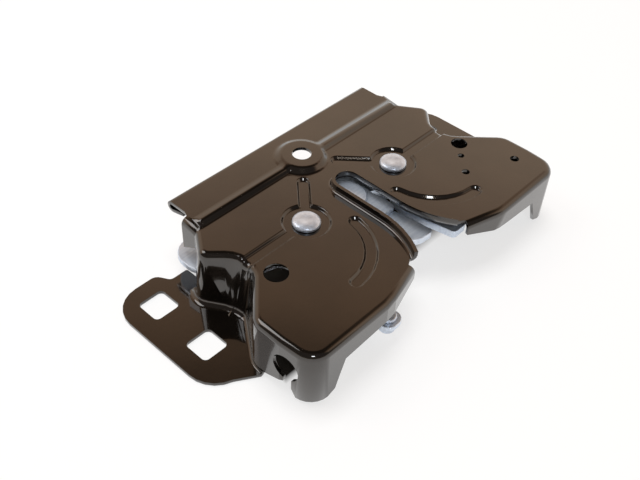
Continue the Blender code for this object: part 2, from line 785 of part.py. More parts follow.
def housing_skin():
    """Top face of the stamping as an open surface."""
    left = wall_path(-1)
    right = wall_path(1)
    slot = slot_path()
    foot = lip_foot()
    rear = [(STRIP_HALF, ROLL_Y), (-STRIP_HALF, ROLL_Y), (-STRIP_HALF, STRIP_END_Y)]
    outer = rear + [tuple(p[0]) for p in left]
    outer += [(x + nx * foot, y + ny * foot) for x, y, nx, ny in slot]
    outer += [tuple(p[0]) for p in reversed(right)] + [(STRIP_HALF, STRIP_END_Y)]
    holes = [circle((0.0, 0.0), BOSS_HOLE_R)]
    holes += [circle((side * PIVOT_X, PIVOT_Y), SHANK_R + GAP) for side in (-1, 1)]
    holes += [circle((x, y), radius, 20) for x, y, radius in LOBE_HOLES]
    points, faces, order = fill_plan(outer, holes, plate_lines())
    bm = bmesh.new()
    verts = [bm.verts.new((p.x, p.y, plate_height(p.x, p.y))) for p in points]
    for face in faces:
        bm.faces.new([verts[i] for i in face])
    edge = [verts[i] for i in order]
    first_slot = len(rear) + len(left)
    first_right = first_slot + len(slot)
    add_roll(bm, edge[:2])
    add_lip(bm, slot, edge[first_slot:first_right])
    for side, path, tops in ((-1, left, edge[len(rear):first_slot]),
                             (1, right, edge[first_right:first_right + len(right)][::-1])):
        add_ear(bm, side, add_walls(bm, path, tops))
    bmesh.ops.delete(bm, geom=[v for v in bm.verts if not v.link_faces], context="VERTS")
    bmesh.ops.recalc_face_normals(bm, faces=bm.faces)
    if sum(face.normal.z * face.calc_area() for face in bm.faces) < 0:
        bmesh.ops.reverse_faces(bm, faces=bm.faces)
    return bm


def cable_cutter():
    """Keyhole that opens through the lower edge of the left wall."""
    count = 20
    across = CABLE_GATE / 2
    shift = CABLE_GATE_Y - CABLE_Y
    reach = CABLE_HOLE_R
    low = -LEG_DEPTH - 0.002
    left_turn = math.acos((shift - across) / reach)
    right_turn = math.acos((shift + across) / reach)
    outline = [(CABLE_GATE_Y + across, low)]
    for i in range(count + 1):
        turn = -right_turn + (2 * math.pi - (left_turn - right_turn)) * i / count
        outline.append((CABLE_Y + reach * math.cos(turn), CABLE_Z + reach * math.sin(turn)))
    outline.append((CABLE_GATE_Y - across, low))
    bm = bmesh.new()
    near = -LOBE_X + BEND
    far = -LOBE_X - 2 * BEND
    face = bm.faces.new([bm.verts.new((far, y, z)) for y, z in outline])
    made = bmesh.ops.extrude_face_region(bm, geom=[face])
    moved = [item for item in made["geom"] if isinstance(item, bmesh.types.BMVert)]
    bmesh.ops.translate(bm, verts=moved, vec=(near - far, 0.0, 0.0))
    return bm


def make_housing(finish):
    bm = housing_skin()
    mesh = bpy.data.meshes.new("housing_plate")
    bm.to_mesh(mesh)
    bm.free()
    mesh.shade_smooth()
    mesh.set_sharp_from_angle(angle=math.radians(35))
    mesh.materials.append(finish)
    housing = bpy.data.objects.new("housing_plate", mesh)
    bpy.context.scene.collection.objects.link(housing)
    wall = housing.modifiers.new("sheet", "SOLIDIFY")
    wall.thickness = SHEET
    wall.offset = -1.0
    wall.use_even_offset = False
    wall.use_quality_normals = True
    cutter = make_object("cable_cutter", cable_cutter(), finish)
    cutter.hide_render = True
    cutter.display_type = "WIRE"
    cut = housing.modifiers.new("cable_hole", "BOOLEAN")
    cut.operation = "DIFFERENCE"
    cut.object = cutter


# Rivets and the pieces on them

def make_rivet(name, centre, stack_low, finish):
    """Headed rivet with its shank, closed below the stack by a formed tail."""
    seat = -SUNK + GAP
    crown = seat + HEAD_HEIGHT
    tail = stack_low - GAP
    profile = [
        (0.0, crown), (HEAD_R * 0.72, crown - HEAD_HEIGHT * 0.12), (HEAD_R, seat + HEAD_HEIGHT * 0.45),
        (HEAD_R, seat), (SHANK_R, seat), (SHANK_R, tail), (TAIL_R, tail),
        (TAIL_R, tail - TAIL_HEIGHT * 0.6), (TAIL_R * 0.75, tail - TAIL_HEIGHT), (0.0, tail - TAIL_HEIGHT),
    ]
    return make_object(name, turned(profile, centre), finish, centre)


def make_ring(name, centre, outer, inner, top, low, finish):
    profile = [(inner, top), (outer, top), (outer, low), (inner, low)]
    return make_object(name, turned(profile, centre), finish, centre)


def make_coil(name, centre, top, legs, finish):
    """Torsion spring round a bush: two straight legs joined by close turns of wire."""
    first, last = legs
    start = leg_angle(centre, first, 1)
    end = leg_angle(centre, last, -1)
    sweep = (end - start) % (2 * math.pi)
    if sweep < LEAST_TURN:
        sweep += 2 * math.pi
    count = math.ceil(sweep / math.radians(20))
    fall = COIL_PITCH * sweep / (2 * math.pi)
    height = top - WIRE / 2
    points = [(*first, height)]
    for i in range(count + 1):
        share = i / count
        points.append((*polar(centre, COIL_R, start + sweep * share), height - fall * share))
    points.append((*last, height - fall))
    curve = bpy.data.curves.new(name, "CURVE")
    curve.dimensions = "3D"
    curve.bevel_depth = WIRE / 2
    curve.bevel_resolution = 2
    curve.use_fill_caps = True
    spline = curve.splines.new("POLY")
    spline.points.add(len(points) - 1)
    for point, (x, y, z) in zip(spline.points, points):
        point.co = (x - centre[0], y - centre[1], z, 1.0)
    curve.materials.append(finish)
    made = bpy.data.objects.new(name, curve)
    made.location = (*centre, 0.0)
    bpy.context.scene.collection.objects.link(made)
    return made


def leg_angle(centre, tip, turn):
    """Angle at which a straight leg from its tip meets the coil as a tangent."""
    dx, dy = tip[0] - centre[0], tip[1] - centre[1]
    return math.atan2(dy, dx) + turn * math.acos(COIL_R / math.hypot(dx, dy))


def stud_leg(centre, stud, side):
    """Tip of a leg that lies along a stud, on the side that the spring pushes it from."""
    dx, dy = stud[0] - centre[0], stud[1] - centre[1]
    reach = math.hypot(dx, dy)
    lean = math.asin((COIL_R + STUD_R + GAP + WIRE / 2) / reach)
    along = math.atan2(dy, dx) + side * lean
    foot = polar(centre, COIL_R, along - side * math.pi / 2)
    return polar(foot, reach * math.cos(lean) + 2 * STUD_R, along)


def wall_leg(side, height):
    """Tip of a spring's fixed leg, which bears on the neck wall's inner face."""
    return (side * (wall_inner(SPRING_SEAT_Y, height) - GAP), SPRING_SEAT_Y)


def wall_inner(y, z):
    """Plan distance of the neck wall's inner face from the centre line."""
    low = -EAR_Z - foot_radius(y)
    share = (-z - BEND) / (low - BEND)
    return NECK_X + BEND - SHEET + ear_lean(y) * share


# Mechanism

def turn_about(point, centre, angle):
    dx, dy = point[0] - centre[0], point[1] - centre[1]
    return (centre[0] + dx * math.cos(angle) - dy * math.sin(angle),
            centre[1] + dx * math.sin(angle) + dy * math.cos(angle))


def nose_place():
    """Rest place of the pawl's nose: its line to the catch's pivot is square to its own arm."""
    angle = math.acos(NOSE_REACH / (2 * PIVOT_X))
    return polar(PIVOT, NOSE_REACH, angle)


def nose_track(count=8):
    """Path of the nose over the catch as both turn, seen from the catch."""
    track = []
    for i in range(count + 1):
        turn = RELEASE_TURN * i / count
        moved = turn_about(nose_place(), PAWL_PIVOT, -turn)
        track.append(turn_about(moved, PIVOT, CATCH_RATIO * turn))
    return track


def shoulder():
    """Flank of the catch's tooth: the nose's path, set back by the nose and its clearance."""
    track = nose_track()
    flank = []
    for i, here in enumerate(track):
        before = Vector(track[max(0, i - 1)])
        after = Vector(track[min(len(track) - 1, i + 1)])
        along = (after - before).normalized()
        set_back = NOSE_R + 2 * GAP
        flank.append((here[0] - along.y * set_back, here[1] + along.x * set_back))
    return flank


def seen_from(centre, corners):
    """Corners given from a centre, in the part's own coordinates."""
    return [(centre[0] + x, centre[1] + y, radius) for x, y, radius in corners]


def hub_arc(centre, first, last, count=5):
    """Points round a hub between two angles in degrees."""
    turns = [math.radians(first + (last - first) * i / (count - 1)) for i in range(count)]
    return [polar(centre, HUB_R, turn) for turn in turns]


def between(corners):
    """The rounded corners of a chain, without its two ends."""
    return rounded(corners, closed=False)[1:-1]


def make_catch(finish):
    """Rotary catch: hub, a jaw between two arms, and the tooth that the pawl holds."""
    floor_r = NOSE_REACH - NOSE_R - 2 * GAP
    flank = [p for p in shoulder() if math.dist(p, PIVOT) > floor_r]
    first = math.atan2(flank[0][1] - PIVOT[1], flank[0][0] - PIVOT[0])
    last = math.atan2(flank[-1][1] - PIVOT[1], flank[-1][0] - PIVOT[0])
    floor_start = math.radians(25)
    floor = [polar(PIVOT, floor_r, floor_start + (first - floor_start) * i / 3) for i in range(4)]
    back = [polar(PIVOT, HUB_R + TOOTH_BACK, last + math.radians(22)),
            polar(PIVOT, HUB_R, last + math.radians(50))]
    hub = hub_arc(PIVOT, 170, 250)
    upper = STRIKER_Y + JAW_HALF
    jaw_x = SLOT_X - JAW_HALF
    turns = [math.radians(90 + 20 * i) for i in range(10)]
    jaw = [polar((jaw_x, STRIKER_Y), JAW_HALF, turn) for turn in turns][::-1]
    heel = (SLOT_X + HEEL_X, STRIKER_Y - JAW_HALF, HEEL_R)
    hook = between([hub[-1], *seen_from((SLOT_X, STRIKER_Y), HOOK_CORNERS), heel, jaw[0]])
    arm = between([jaw[-1], (SLOT_X + ARM_X, upper, HEEL_R), (SLOT_X + ARM_X, upper + ARM_DEPTH, ARM_R), floor[0]])
    outline = hub + hook + jaw + arm + floor + flank + back
    bore = circle(PIVOT, BORE_R)
    return make_object("catch", plate(outline, [bore], CATCH_TOP, CATCH_LOW), finish, PIVOT)


def make_lift_lever(finish):
    """Lever over the catch that the striker presses back and that lifts it out again."""
    hub = hub_arc(PIVOT, 80, 160)
    outline = hub + between([hub[-1], *seen_from(PIVOT, LIFT_CORNERS), hub[0]])
    bore = circle(PIVOT, BORE_R)
    return make_object("lift_lever", plate(outline, [bore], LIFT_TOP, LIFT_LOW), finish, PIVOT)


def make_pawl(finish):
    """Three-armed pawl: nose for the catch, pin for the release lever and a tail beside the slot."""
    nose = nose_place()
    along = math.atan2(nose[1] - PIVOT_Y, nose[0] - PIVOT_X)
    tip = [polar(nose, NOSE_R, along + math.radians(90 - 30 * i)) for i in range(7)]
    hub = hub_arc(PAWL_PIVOT, 60, -40)
    pin = [polar((PIN_X, PIN_Y), PIN_R + PIN_MARGIN, math.radians(190 - 30 * i)) for i in range(6)]
    web = polar(PAWL_PIVOT, HUB_R, along + math.radians(60))
    tail = between([hub[-1], *seen_from(PAWL_PIVOT, TAIL_CORNERS), web])
    joint = polar(PAWL_PIVOT, NOSE_NECK, along)
    lower_side = polar(joint, NOSE_NECK_HALF, along + math.pi / 2)
    upper_side = polar(joint, NOSE_NECK_HALF, along - math.pi / 2)
    outline = hub + tail + [lower_side] + tip + [upper_side] + pin
    bore = circle(PAWL_PIVOT, BORE_R)
    return make_object("pawl", plate(outline, [bore], CATCH_TOP, CATCH_LOW), finish, PAWL_PIVOT)


def make_release_lever(finish):
    """Three-armed lever: cable arm, arm that turns the pawl, and the handle end in the side window."""
    face = PIN_X - PIN_R - 2 * GAP
    follow = 2 * PIVOT_X * (1 - math.cos(RELEASE_TURN))
    travel = 2 * PIVOT_X * math.sin(RELEASE_TURN)
    low = (face, PIN_Y - PIN_R - GAP)
    high = (face - follow, PIN_Y + travel + PIN_R / 2)
    finger = [
        (low[0] - FINGER, low[1] - FINGER, FINGER / 2), (*low, ARM_R / 2), (*high, ARM_R / 2),
        (high[0] - FINGER / 2, high[1] - GAP, ARM_R), (low[0] - FINGER, low[1] + ARM_R, FINGER / 2),
    ]
    upper = seen_from(PIVOT, RELEASE_UPPER)
    left = seen_from(PIVOT, RELEASE_LEFT)
    right = seen_from(PIVOT, RELEASE_RIGHT)
    handle = seen_from(HANDLE, HANDLE_CORNERS)
    cable = seen_from(CABLE_END, CABLE_CORNERS)
    outline = rounded(finger + upper + handle + left + cable + right)
    holes = [circle(PIVOT, BORE_R), circle(CABLE_END, POST_NECK_R + GAP, 16)]
    return make_object("release_lever", plate(outline, holes, RELEASE_TOP, RELEASE_LOW), finish, PIVOT)


def make_cable_post(finish):
    """Turned post riveted into the cable arm, on which the cable's eye hangs."""
    low = RELEASE_LOW - GAP
    top = RELEASE_TOP + GAP
    bevel = POST_HEAD / 2
    profile = [
        (0.0, top + POST_HEAD), (POST_R - bevel, top + POST_HEAD), (POST_R, top + bevel), (POST_R, top),
        (POST_NECK_R, top), (POST_NECK_R, low), (POST_R, low), (POST_R, low - POST_TAIL + bevel),
        (POST_R - bevel, low - POST_TAIL), (0.0, low - POST_TAIL),
    ]
    return make_object("cable_post", turned(profile, CABLE_END, 20), finish, PIVOT)


def make_stud(name, centre, origin, radius, top, low, finish):
    """Stud riveted to the underside of a plate, with a chamfered end."""
    chamfer = radius * 0.2
    profile = [(0.0, top), (radius, top), (radius, low + chamfer), (radius - chamfer, low), (0.0, low)]
    return make_object(name, turned(profile, centre, 16), finish, origin)


def make_lift_pad(finish):
    """Round pad on the lift lever, under the end of the slot."""
    seat = LIFT_TOP + GAP
    disc = plate(circle(LIFT_PAD_PLACE, LIFT_PAD_R, 32), [], seat + LIFT_PAD, seat)
    return make_object("lift_pad", disc, finish, PIVOT)


def make_springs(finish):
    """Torsion springs of the catch, the lift lever and the pawl."""
    catch_legs = (wall_leg(-1, CATCH_COIL_TOP), stud_leg(PIVOT, CATCH_STUD, 1))
    make_coil("catch_spring", PIVOT, CATCH_COIL_TOP, catch_legs, finish)
    lift_legs = (wall_leg(-1, LIFT_COIL_TOP), stud_leg(PIVOT, LIFT_STUD, 1))
    make_coil("lift_spring", PIVOT, LIFT_COIL_TOP, lift_legs, finish)
    pawl_legs = (stud_leg(PAWL_PIVOT, PAWL_STUD, -1), wall_leg(1, CATCH_COIL_TOP))
    make_coil("pawl_spring", PAWL_PIVOT, CATCH_COIL_TOP, pawl_legs, finish)


def stand_on_base():
    """Put the origin below the middle of the whole latch, at the height of its foot."""
    depsgraph = bpy.context.evaluated_depsgraph_get()
    plates = [item for item in bpy.data.objects if item.type == "MESH" and not item.hide_render]
    solids = [item.evaluated_get(depsgraph) for item in plates]
    corners = [solid.matrix_world @ Vector(corner) for solid in solids for corner in solid.bound_box]
    middle = (min(c.y for c in corners) + max(c.y for c in corners)) / 2
    foot = min(c.z for c in corners)
    for item in bpy.data.objects:
        item.location.y -= middle
        item.location.z -= foot


def main():
    clear_scene()
    coat = material("black coat", (0.028, 0.022, 0.018), 0.22, 0.35)
    zinc = material("bright zinc", (0.62, 0.63, 0.66), 0.30, 0.95)
    steel = material("rivet steel", (0.66, 0.63, 0.58), 0.35, 0.90)
    spring = material("spring wire", (0.35, 0.35, 0.37), 0.40, 0.90)
    bronze = material("bush bronze", (0.52, 0.36, 0.20), 0.40, 0.85)
    make_housing(coat)
    pawl_low = CATCH_COIL_TOP - COIL_HEIGHT
    for name, centre, low in (("catch", PIVOT, RELEASE_LOW), ("pawl", PAWL_PIVOT, pawl_low)):
        bush_low = low - GAP
        washer_top = bush_low - GAP
        washer_low = washer_top - WASHER
        make_ring(name + "_bush", centre, BUSH_R, SHANK_R + GAP, BUSH_TOP, bush_low, bronze)
        make_ring(name + "_washer", centre, WASHER_R, SHANK_R + GAP, washer_top, washer_low, zinc)
        make_rivet(name + "_rivet", centre, washer_low, steel)
    make_ring("pawl_spacer", PAWL_PIVOT, HUB_R - 0.002, BORE_R, LIFT_TOP, LIFT_LOW, zinc)
    make_catch(zinc)
    make_stud("catch_stud", CATCH_STUD, PIVOT, STUD_R, CATCH_LOW - GAP, LIFT_COIL_TOP + GAP, steel)
    make_lift_lever(zinc)
    make_lift_pad(zinc)
    make_stud("lift_stud", LIFT_STUD, PIVOT, STUD_R, LIFT_LOW - GAP, RELEASE_TOP + GAP, steel)
    make_pawl(zinc)
    make_stud("pawl_pin", (PIN_X, PIN_Y), PAWL_PIVOT, PIN_R, CATCH_LOW - GAP, RELEASE_LOW - GAP, steel)
    make_stud("pawl_stud", PAWL_STUD, PAWL_PIVOT, STUD_R, CATCH_LOW - GAP, pawl_low, steel)
    make_release_lever(zinc)
    make_cable_post(steel)
    make_springs(spring)
    stand_on_base()


main()
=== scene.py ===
import math

import bmesh
import bpy
from mathutils import Matrix, Vector


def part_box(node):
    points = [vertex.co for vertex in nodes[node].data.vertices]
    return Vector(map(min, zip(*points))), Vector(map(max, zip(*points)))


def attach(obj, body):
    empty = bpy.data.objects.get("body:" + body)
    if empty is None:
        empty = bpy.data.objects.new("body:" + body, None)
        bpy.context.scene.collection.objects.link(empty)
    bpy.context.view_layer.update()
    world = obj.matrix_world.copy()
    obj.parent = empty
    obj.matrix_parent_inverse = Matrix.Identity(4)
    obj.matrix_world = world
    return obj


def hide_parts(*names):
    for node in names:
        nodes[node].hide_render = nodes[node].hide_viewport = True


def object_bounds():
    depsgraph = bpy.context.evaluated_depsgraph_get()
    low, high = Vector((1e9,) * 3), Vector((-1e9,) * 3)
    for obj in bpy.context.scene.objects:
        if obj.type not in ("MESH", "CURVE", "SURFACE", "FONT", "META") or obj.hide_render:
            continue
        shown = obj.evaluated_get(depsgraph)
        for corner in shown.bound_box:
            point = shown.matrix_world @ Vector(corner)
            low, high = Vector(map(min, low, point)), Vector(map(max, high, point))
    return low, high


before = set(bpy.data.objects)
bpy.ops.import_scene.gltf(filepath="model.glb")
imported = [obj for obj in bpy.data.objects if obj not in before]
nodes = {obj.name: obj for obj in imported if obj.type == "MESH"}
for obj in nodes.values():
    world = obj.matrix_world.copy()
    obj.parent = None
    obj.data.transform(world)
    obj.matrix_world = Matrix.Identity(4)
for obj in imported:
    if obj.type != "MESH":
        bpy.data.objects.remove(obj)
cadLow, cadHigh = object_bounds()
print("frame loaded")

world = bpy.data.worlds.new("studio")
bpy.context.scene.world = world
bpy.context.scene.view_settings.view_transform = "Standard"


# Node helpers

def newMaterial(name):
    made = bpy.data.materials.new(name)
    made.use_nodes = True
    tree = made.node_tree
    return made, tree, tree.nodes["Principled BSDF"]


def addNode(tree, kind, inputs=None, **settings):
    made = tree.nodes.new(kind)
    for name, value in settings.items():
        setattr(made, name, value)
    for name, value in (inputs or {}).items():
        if isinstance(value, bpy.types.NodeSocket):
            tree.links.new(value, made.inputs[name])
        else:
            made.inputs[name].default_value = value
    return made


def ramp(tree, source, stops):
    made = tree.nodes.new("ShaderNodeValToRGB")
    tree.links.new(source, made.inputs["Fac"])
    points = made.color_ramp.elements
    while len(points) < len(stops):
        points.new(0.5)
    for point, (place, colour) in zip(points, stops):
        point.position = place
        point.color = (*colour, 1.0) if isinstance(colour, tuple) else (colour, colour, colour, 1.0)
    return made.outputs["Color"]


def spread(tree, source, low, high):  # a 0 to 1 pattern brought to a range of values
    return addNode(tree, "ShaderNodeMapRange", {"Value": source, "To Min": low, "To Max": high}).outputs["Result"]


def place(tree, at=(0.0, 0.0, 0.0), scale=(1.0, 1.0, 1.0)):  # object coordinates centred on a point
    coords = addNode(tree, "ShaderNodeTexCoord").outputs["Object"]
    moved = addNode(tree, "ShaderNodeVectorMath", {0: coords, 1: at}, operation="SUBTRACT")
    return addNode(tree, "ShaderNodeVectorMath", {0: moved.outputs[0], 1: scale}, operation="MULTIPLY").outputs[0]


def noise(tree, where, scale, detail=3.0, roughness=0.5):
    return addNode(tree, "ShaderNodeTexNoise", {
        "Vector": where, "Scale": scale, "Detail": detail, "Roughness": roughness}).outputs["Fac"]


# Finishes

coatLook = {
    "dark": (0.012, 0.0085, 0.0055),
    "light": (0.034, 0.026, 0.019),
    # lighter tint on the rounded sheet edges: partly paint worn thin, partly a painted highlight along the edges
    "edgeWearAndSheen": (0.12, 0.09, 0.065),
    "metallic": 0.90,
    "roughness": (0.13, 0.22),
    "roughScale": 160.0,
    "coatWeight": 0.8,
    "coatRoughness": 0.05,
    "coatIor": 1.80,
    "peelScale": 420.0,
    "peelDepth": 0.000012,
    "cloudScale": 26.0,
    "edgePatchScale": 300.0,
}


def makeCoat():
    look = coatLook
    made, tree, shader = newMaterial("black coat")
    where = place(tree)
    clouds = noise(tree, where, look["cloudScale"], 4.0, 0.55)
    colour = ramp(tree, clouds, ((0.30, look["dark"]), (0.75, look["light"])))
    # the rounded sheet edges are tinted lighter in patches: partly paint worn thin there, partly a painted
    # highlight along the edges
    edge = addNode(tree, "ShaderNodeAttribute", attribute_name="edgeWearAndSheen").outputs["Fac"]
    patches = spread(tree, noise(tree, where, look["edgePatchScale"]), 0.2, 1.0)
    wearAndSheen = addNode(tree, "ShaderNodeMath", {0: edge, 1: patches}, operation="MULTIPLY").outputs[0]
    mixed = addNode(tree, "ShaderNodeMix", {0: wearAndSheen, 6: colour, 7: (*look["edgeWearAndSheen"], 1.0)}, data_type="RGBA")
    tree.links.new(mixed.outputs[2], shader.inputs["Base Color"])
    grain = noise(tree, where, look["roughScale"], 5.0, 0.6)
    tree.links.new(spread(tree, grain, *look["roughness"]), shader.inputs["Roughness"])
    peel = noise(tree, where, look["peelScale"], 2.0, 0.45)
    bump = addNode(tree, "ShaderNodeBump", {"Height": peel, "Strength": 0.5, "Distance": look["peelDepth"]})
    tree.links.new(bump.outputs["Normal"], shader.inputs["Normal"])
    tree.links.new(bump.outputs["Normal"], shader.inputs["Coat Normal"])
    shader.inputs["Metallic"].default_value = look["metallic"]
    shader.inputs["Coat Weight"].default_value = look["coatWeight"]
    shader.inputs["Coat Roughness"].default_value = look["coatRoughness"]
    shader.inputs["Coat IOR"].default_value = look["coatIor"]
    return made


plateLook = {
    "dark": (0.60, 0.68, 0.80),
    "light": (0.84, 0.91, 1.00),
    "metallic": 0.65,
    "roughness": (0.30, 0.46),
    "grainScale": (60.0, 900.0, 200.0),
    "grainDepth": 0.000012,
    "stainScale": 70.0,
}


def makePlateFinish(name, turn):  # rolled and zinc-plated sheet, its grain turned in plan
    look = plateLook
    made, tree, shader = newMaterial(name)
    coords = addNode(tree, "ShaderNodeTexCoord").outputs["Object"]
    turned = addNode(tree, "ShaderNodeMapping", {
        "Vector": coords, "Rotation": (0.0, 0.0, turn), "Scale": look["grainScale"]}).outputs[0]
    grain = noise(tree, turned, 1.0, 6.0, 0.6)
    stain = noise(tree, coords, look["stainScale"], 4.0, 0.6)
    both = addNode(tree, "ShaderNodeMath", {0: grain, 1: stain}, operation="MULTIPLY_ADD")
    both.inputs[2].default_value = 0.1
    colour = ramp(tree, both.outputs[0], ((0.22, look["dark"]), (0.50, look["light"])))
    tree.links.new(colour, shader.inputs["Base Color"])
    tree.links.new(spread(tree, stain, *look["roughness"]), shader.inputs["Roughness"])
    bump = addNode(tree, "ShaderNodeBump", {"Height": grain, "Strength": 0.5, "Distance": look["grainDepth"]})
    tree.links.new(bump.outputs["Normal"], shader.inputs["Normal"])
    shader.inputs["Metallic"].default_value = look["metallic"]
    return made


rivetLook = {
    "dark": (0.52, 0.57, 0.66),
    "light": (0.72, 0.80, 0.92),
    "metallic": 0.70,
    "roughness": (0.30, 0.48),
    "ringScale": 2600.0,
    "ringDepth": 0.000010,
    "wobbleScale": 220.0,
    "stainScale": 260.0,
}


def makeTurnedFinish(name, centre, look):  # steel with faint rings round an upright axis
    made, tree, shader = newMaterial(name)
    where = place(tree, (*centre, 0.0))
    flat = addNode(tree, "ShaderNodeVectorMath", {0: where, 1: (1.0, 1.0, 0.0)}, operation="MULTIPLY").outputs[0]
    reach = addNode(tree, "ShaderNodeVectorMath", {0: flat}, operation="LENGTH").outputs["Value"]
    wobble = noise(tree, where, look["wobbleScale"])
    rings = addNode(tree, "ShaderNodeMath", {0: reach, 1: look["ringScale"]}, operation="MULTIPLY").outputs[0]
    shaken = addNode(tree, "ShaderNodeMath", {0: rings, 1: spread(tree, wobble, 0.0, 2.5)}, operation="ADD")
    wave = addNode(tree, "ShaderNodeMath", {0: shaken.outputs[0]}, operation="SINE").outputs[0]
    stain = noise(tree, where, look["stainScale"], 5.0, 0.6)
    colour = ramp(tree, stain, ((0.32, look["dark"]), (0.62, look["light"])))
    tree.links.new(colour, shader.inputs["Base Color"])
    tree.links.new(spread(tree, stain, *look["roughness"]), shader.inputs["Roughness"])
    bump = addNode(tree, "ShaderNodeBump", {"Height": wave, "Strength": 0.35, "Distance": look["ringDepth"]})
    tree.links.new(bump.outputs["Normal"], shader.inputs["Normal"])
    shader.inputs["Metallic"].default_value = look["metallic"]
    return made


bushLook = {
    "dark": (0.30, 0.19, 0.10),
    "light": (0.55, 0.38, 0.21),
    "metallic": 1.0,
    "roughness": (0.32, 0.50),
    "ringScale": 2200.0,
    "ringDepth": 0.000010,
    "wobbleScale": 220.0,
    "stainScale": 260.0,
}

wireLook = {
    "dark": (0.16, 0.16, 0.17),
    "light": (0.34, 0.34, 0.36),
    "roughness": (0.26, 0.42),
    "drawScale": 900.0,
    "drawDepth": 0.000010,
}


def makeWireFinish():
    look = wireLook
    made, tree, shader = newMaterial("drawn wire")
    where = place(tree)
    streaks = noise(tree, where, look["drawScale"], 4.0, 0.6)
    colour = ramp(tree, streaks, ((0.3, look["dark"]), (0.7, look["light"])))
    tree.links.new(colour, shader.inputs["Base Color"])
    tree.links.new(spread(tree, streaks, *look["roughness"]), shader.inputs["Roughness"])
    bump = addNode(tree, "ShaderNodeBump", {"Height": streaks, "Strength": 0.4, "Distance": look["drawDepth"]})
    tree.links.new(bump.outputs["Normal"], shader.inputs["Normal"])
    shader.inputs["Metallic"].default_value = 1.0
    return made


# Pieces worked up from the frame's own solids

meshRules = {
    "weld": 0.000002,
    "flatAngle": 0.4,
    "creaseAngle": 50,
    "normalWeight": 60,
}


def mergedCopy(node):  # the frame's loose triangles, joined and with flat areas made whole
    bm = bmesh.new()
    bm.from_mesh(nodes[node].data)
    bmesh.ops.remove_doubles(bm, verts=bm.verts, dist=meshRules["weld"])
    bmesh.ops.dissolve_limit(bm, angle_limit=math.radians(meshRules["flatAngle"]), verts=bm.verts, edges=bm.edges)
    return bm


def finishPiece(bm, name, node, body, finish, weighted=True):
    mesh = bpy.data.meshes.new(name)
    bm.to_mesh(mesh)
    bm.free()
    mesh.shade_smooth()
    mesh.set_sharp_from_angle(angle=math.radians(meshRules["creaseAngle"]))
    mesh.materials.append(finish)
    made = bpy.data.objects.new(name, mesh)
    bpy.context.scene.collection.objects.link(made)
    if weighted:
        normals = made.modifiers.new("normals", "WEIGHTED_NORMAL")
        normals.keep_sharp = True
        normals.weight = meshRules["normalWeight"]
    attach(made, body)
    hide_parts(node)
    return made


def steepEdges(bm, angle):
    return [e for e in bm.edges if len(e.link_faces) == 2 and e.calc_face_angle() > math.radians(angle)]


def roundEdges(bm, width, angle=55, segments=2):
    made = bmesh.ops.bevel(bm, geom=steepEdges(bm, angle), offset=width, offset_type="OFFSET", affect="EDGES",
                           segments=segments, profile=0.5, clamp_overlap=True, material=-1)
    return made["faces"]


housingShape = {
    "edgeRound": 0.00030,
    "edgeAngle": 62,
    "levelZ": 0.9999,
    "flatWidth": 0.0025,
    "flatWithin": 35,
}


def isFlat(mesh, face):  # a level face, or one too wide to be a strip of a bend
    corners = [mesh.vertices[v].co for v in face.vertices]
    rim = sum((a - b).length for a, b in zip(corners, corners[1:] + corners[:1]))
    return abs(face.normal.z) > housingShape["levelZ"] or 2 * face.area / rim > housingShape["flatWidth"]


def keepFlats(mesh):  # flat faces stay flat right up to the bends round them
    normals = [corner.vector.copy() for corner in mesh.corner_normals]
    flats = [face for face in mesh.polygons if isFlat(mesh, face)]
    around = {}
    for face in sorted(flats, key=lambda p: p.area):
        for vert in face.vertices:
            around.setdefault(vert, []).append(face.normal.copy())
    limit = math.cos(math.radians(housingShape["flatWithin"]))
    for loop in mesh.loops:
        for normal in around.get(loop.vertex_index, ()):
            if normals[loop.index].dot(normal) > limit:
                normals[loop.index] = normal
    for face in flats:
        for corner in face.loop_indices:
            normals[corner] = face.normal.copy()
    mesh.normals_split_custom_set(normals)


def makeHousing(finish):
    bm = mergedCopy("housing_plate")
    # marks the middle of each rounded edge for the lighter edge tint, which is partly wear and partly a painted
    # highlight
    edge = bm.verts.layers.float.new("edgeWearAndSheen")
    rounded = set(roundEdges(bm, housingShape["edgeRound"], housingShape["edgeAngle"]))
    for face in rounded:
        for vert in face.verts:
            if all(other in rounded for other in vert.link_faces):  # only along the middle of the rounding
                vert[edge] = 1.0
    made = finishPiece(bm, "housing_shell", "housing_plate", "housing", finish, weighted=False)
    keepFlats(made.data)


plateShape = {"edgeRound": 0.00035, "levelZ": 0.999}


def makePlate(node, body, finish):
    bm = mergedCopy(node)
    roundEdges(bm, plateShape["edgeRound"])
    mesh = finishPiece(bm, node + "_plate", node, body, finish, weighted=False).data
    sides = {}
    for polygon in mesh.polygons:
        level = abs(polygon.normal.z) > plateShape["levelZ"]
        for key in polygon.edge_keys:
            sides.setdefault(key, []).append(level)
    for edge in mesh.edges:  # the sheet's faces stay level up to their rounded edges
        if len(set(sides[edge.key])) > 1:
            edge.use_edge_sharp = True


wireShape = {"creaseAngle": 80}


def makeWire(node, finish):
    bm = mergedCopy(node)
    made = finishPiece(bm, node + "_wire", node, "housing", finish, weighted=False)
    made.data.set_sharp_from_angle(angle=math.radians(wireShape["creaseAngle"]))


# Turned pieces, spun round the upright axis of the solid that they replace

def middleOf(node):
    low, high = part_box(node)
    return (low.x + high.x) / 2, (low.y + high.y) / 2


def spin(profile, centre, steps=72):
    bm = bmesh.new()
    verts = [bm.verts.new((centre[0] + reach, centre[1], height)) for reach, height in profile]
    for first, last in zip(verts, verts[1:]):
        bm.edges.new((first, last))
    if profile[0][0] > 0.0:
        bm.edges.new((verts[-1], verts[0]))
    bmesh.ops.spin(bm, geom=bm.verts[:] + bm.edges[:], cent=(*centre, 0.0), axis=(0.0, 0.0, 1.0),
                   angle=math.tau, steps=steps, use_merge=True)
    bmesh.ops.remove_doubles(bm, verts=bm.verts, dist=meshRules["weld"])
    bmesh.ops.recalc_face_normals(bm, faces=bm.faces)
    return bm


